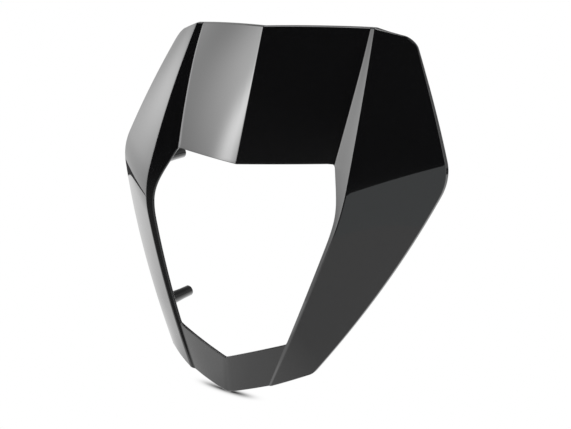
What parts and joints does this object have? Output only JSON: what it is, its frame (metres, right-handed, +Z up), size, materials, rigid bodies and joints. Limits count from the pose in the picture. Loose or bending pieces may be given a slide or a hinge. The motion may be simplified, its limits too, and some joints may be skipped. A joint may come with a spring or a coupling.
{
  "type": "headlight cowl",
  "caption": "Gloss black moulded headlight cowl with a creased centre panel, swept side wings, a lamp window and rear mounting pegs.",
  "frame": {"origin": "on the centre plane, midway between the upper pegs, where their grommets grip them", "axes": "+Z up, -Y the way the cowl faces, +X to the right when the cowl is seen from the front; the pegs point along +Y"},
  "size_m": [0.286, 0.0977, 0.2714],
  "materials": {
    "shell": "polished black moulded plastic, high gloss"
  },
  "bodies": {
    "root": {"cowl": "shell"}
  },
  "joints": []
}
